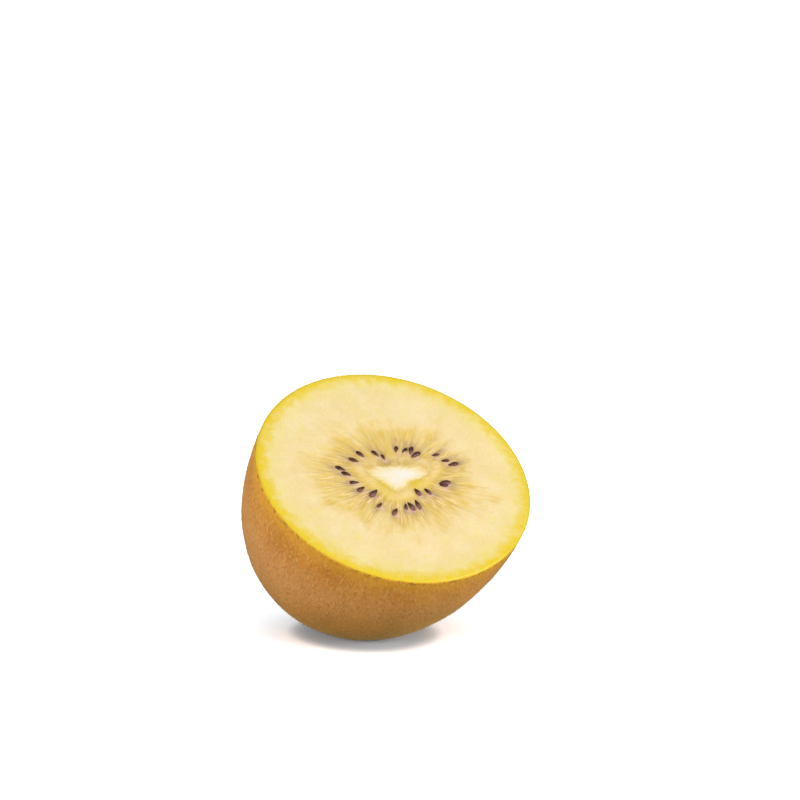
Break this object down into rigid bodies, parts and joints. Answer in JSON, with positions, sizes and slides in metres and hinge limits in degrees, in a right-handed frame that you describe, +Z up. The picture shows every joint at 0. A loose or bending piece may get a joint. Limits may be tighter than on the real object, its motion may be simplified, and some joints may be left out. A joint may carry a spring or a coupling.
{
  "type": "golden kiwi fruit half",
  "caption": "Half of a golden kiwi fruit, cut across and lying on its round side, with yellow flesh, a pale core, dark seeds and a thin tan skin.",
  "frame": {"origin": "middle of the small flat spot on the round side that the half rests on", "axes": "+Z up from the rest spot; the cut face leans towards -Y, 35.3 degrees from level; +X along the cut face's level direction"},
  "size_m": [0.0541, 0.0547, 0.0483],
  "materials": {
    "skin": "matte",
    "flesh": "satin",
    "core": "satin",
    "seed": "satin"
  },
  "bodies": {
    "root": {"skin": "skin", "flesh": "flesh", "core": "core"}
  },
  "joints": []
}
